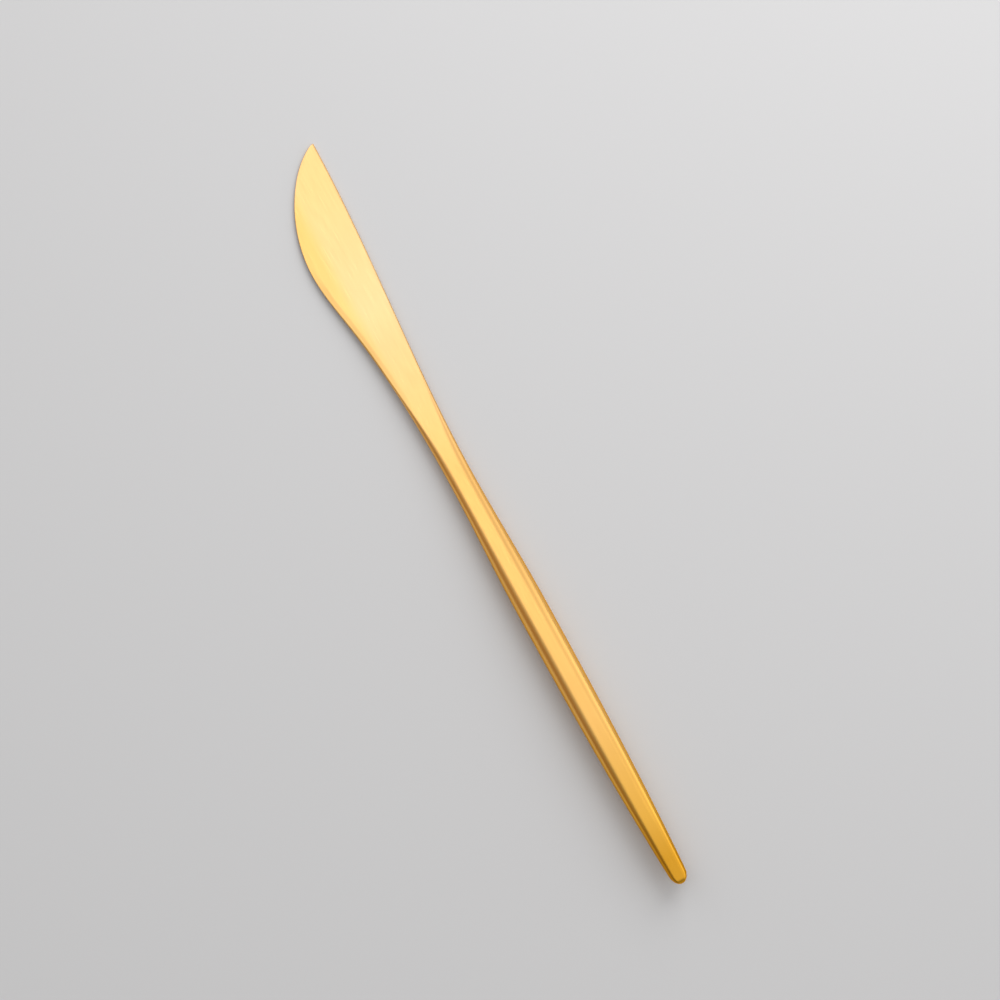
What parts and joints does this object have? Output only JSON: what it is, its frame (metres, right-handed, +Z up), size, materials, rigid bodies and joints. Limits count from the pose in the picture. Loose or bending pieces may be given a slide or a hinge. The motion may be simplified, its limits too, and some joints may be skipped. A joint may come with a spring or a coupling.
{
  "type": "table knife",
  "caption": "Slender matt gold table knife: flat pointed blade with a full cutting edge, narrow neck, and a solid handle that swells and tapers to a rounded end.",
  "frame": {"origin": "middle of the knife's box in X and Y, on the surface that the knife lies on", "axes": "+X along the knife from the blade's tip to the end of the handle, +Y towards the spine of the blade, +Z up from the surface"},
  "size_m": [0.2218, 0.0174, 0.0084],
  "materials": {
    "blade_steel": "hardened stainless steel, finely brushed to a matt surface under a gold-coloured vapour-deposited coating",
    "handle_steel": "stainless steel, finely brushed to a matt surface under a gold-coloured vapour-deposited coating",
    "braze": "silver-bearing brazing metal, as run"
  },
  "bodies": {
    "root": {"blade": "blade_steel", "handle": "handle_steel", "tang_braze": "braze"}
  },
  "joints": []
}
